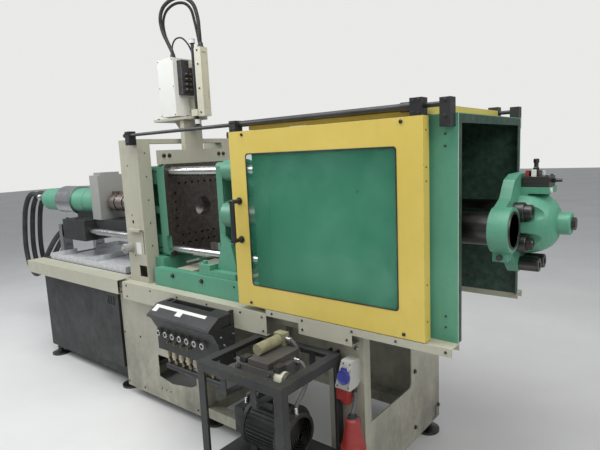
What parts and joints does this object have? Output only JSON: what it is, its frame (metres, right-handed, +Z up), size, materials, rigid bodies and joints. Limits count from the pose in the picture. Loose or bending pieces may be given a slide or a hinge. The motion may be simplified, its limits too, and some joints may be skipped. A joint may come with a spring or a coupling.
{
  "type": "injection moulding machine",
  "caption": "Horizontal injection moulding machine: open base, tie-bar clamp, sliding yellow hood, guarded end with star crosshead, injection unit, sprue picker and valve bench.",
  "frame": {"origin": "centre of the locating bore on the mould face of the fixed platen", "axes": "+X along the clamp axis to the clamp end, +Y to the rear side, +Z up; the floor is at z = -1.23"},
  "size_m": [4.724, 1.2595, 2.507],
  "materials": {
    "green_paint": "satin machine enamel",
    "yellow_paint": "satin enamel on sheet",
    "beige_paint": "satin enamel on sheet",
    "dark_paint": "dull dark paint",
    "black_sheet": "dull black sheet",
    "grey_paint": "satin grey paint",
    "dark_steel": "blackened steel",
    "bright_steel": "ground and plated",
    "blued_steel": "heat-stained steel",
    "black_plastic": "matt black",
    "white_plastic": "off-white",
    "cream_metal": "dull cream",
    "rubber": "black rubber",
    "grey_hose": "grey rubber",
    "grey_plastic": "grey moulded plastic",
    "blue_plastic": "blue moulded plastic",
    "red_plastic": "red moulded plastic",
    "pane": "clear pane",
    "valve_metal": "dull grey valve body",
    "knob_metal": "dull turned metal"
  },
  "bodies": {
    "machine": {"cabinet": "dark_paint", "base_frame": "beige_paint", "levelling_feet": "dark_steel", "side_rails": "beige_paint", "side_panels": "beige_paint", "end_plate": "beige_paint", "socket_leg": "beige_paint", "black_hood": "black_sheet", "clamp_bed": "green_paint", "fixed_platen": "green_paint", "tie_bars": "bright_steel", "tie_bar_nuts": "dark_steel", "support_platen": "green_paint", "clamp_cylinder": "dark_paint", "portal_frame": "beige_paint", "picker_bracket": "beige_paint", "guard_shell": "green_paint", "door_rails": "black_plastic", "injection_guides": "bright_steel", "water_distributor": "dark_paint", "socket_box": "grey_plastic", "bench_frame": "dark_paint", "pump_motor": "dark_paint", "bench_valves": "valve_metal", "bench_hoses": "grey_hose", "red_plug": "red_plastic", "plug_cable": "grey_hose"},
    "moving_platen": {"moving_platen": "green_paint", "platen_shoes": "green_paint", "guide_columns": "dark_steel", "ram": "bright_steel", "crosshead": "green_paint", "crosshead_fittings": "dark_steel"},
    "ejector": {"ejector": "bright_steel"},
    "sliding_hood": {"door_frame": "yellow_paint", "rear_door_frame": "yellow_paint", "hood_windows": "pane", "hood_handle": "black_plastic", "door_carriers": "black_plastic", "roof_cover": "yellow_paint"},
    "injection_unit": {"injection_carriage": "dark_paint", "injection_housings": "green_paint", "injection_cylinder": "bright_steel", "feed_block": "grey_paint", "barrel": "blued_steel", "unit_hoses": "rubber"},
    "injection_piston": {"injection_piston": "dark_steel"},
    "screw": {"screw": "bright_steel"},
    "picker_swivel": {"picker_body": "white_plastic", "picker_guide": "cream_metal", "picker_conduit": "rubber"},
    "picker_arm": {"picker_arm": "black_plastic"},
    "socket_lid": {"socket_lid": "blue_plastic"},
    "water_knob_1": {"water_knob_1": "knob_metal"},
    "water_knob_2": {"water_knob_2": "knob_metal"},
    "water_knob_3": {"water_knob_3": "knob_metal"},
    "water_knob_4": {"water_knob_4": "knob_metal"},
    "water_knob_5": {"water_knob_5": "knob_metal"},
    "water_knob_6": {"water_knob_6": "knob_metal"},
    "water_knob_7": {"water_knob_7": "knob_metal"}
  },
  "joints": [
    {"name": "clamp_slide", "type": "slide", "parent": "machine", "child": "moving_platen", "axis": [1, 0, 0], "range_m": [-0.243, 0.257]},
    {"name": "ejector_slide", "type": "slide", "parent": "moving_platen", "child": "ejector", "axis": [1, 0, 0], "range_m": [-0.11, 0]},
    {"name": "hood_slide", "type": "slide", "parent": "machine", "child": "sliding_hood", "axis": [1, 0, 0], "range_m": [-0.82, 0]},
    {"name": "injection_slide", "type": "slide", "parent": "machine", "child": "injection_unit", "axis": [1, 0, 0], "range_m": [-0.04, 0.28]},
    {"name": "piston_slide", "type": "slide", "parent": "injection_unit", "child": "injection_piston", "axis": [1, 0, 0], "range_m": [-0.16, 0]},
    {"name": "screw_turn", "type": "hinge", "parent": "injection_piston", "child": "screw", "pos_m": [-1.565, 0, 0], "axis": [1, 0, 0], "continuous": true},
    {"name": "picker_turn", "type": "hinge", "parent": "machine", "child": "picker_swivel", "pos_m": [-0.15, -0.008, 0.56], "axis": [0, 0, 1], "range_deg": [0, 90]},
    {"name": "picker_slide", "type": "slide", "parent": "picker_swivel", "child": "picker_arm", "axis": [0, 0, 1], "range_m": [-0.38, 0]},
    {"name": "lid_turn", "type": "hinge", "parent": "machine", "child": "socket_lid", "pos_m": [1.372, -0.4651, -0.58529], "axis": [-1, 0, 0], "range_deg": [0, 100]},
    {"name": "knob_1_turn", "type": "hinge", "parent": "machine", "child": "water_knob_1", "pos_m": [0.229, -0.5505, -0.622], "axis": [0, -1, 0], "range_deg": [0, 270]},
    {"name": "knob_2_turn", "type": "hinge", "parent": "machine", "child": "water_knob_2", "pos_m": [0.289, -0.5505, -0.622], "axis": [0, -1, 0], "range_deg": [0, 270]},
    {"name": "knob_3_turn", "type": "hinge", "parent": "machine", "child": "water_knob_3", "pos_m": [0.349, -0.5505, -0.622], "axis": [0, -1, 0], "range_deg": [0, 270]},
    {"name": "knob_4_turn", "type": "hinge", "parent": "machine", "child": "water_knob_4", "pos_m": [0.409, -0.5505, -0.622], "axis": [0, -1, 0], "range_deg": [0, 270]},
    {"name": "knob_5_turn", "type": "hinge", "parent": "machine", "child": "water_knob_5", "pos_m": [0.469, -0.5505, -0.622], "axis": [0, -1, 0], "range_deg": [0, 270]},
    {"name": "knob_6_turn", "type": "hinge", "parent": "machine", "child": "water_knob_6", "pos_m": [0.529, -0.5505, -0.622], "axis": [0, -1, 0], "range_deg": [0, 270]},
    {"name": "knob_7_turn", "type": "hinge", "parent": "machine", "child": "water_knob_7", "pos_m": [0.589, -0.5505, -0.622], "axis": [0, -1, 0], "range_deg": [0, 270]}
  ]
}
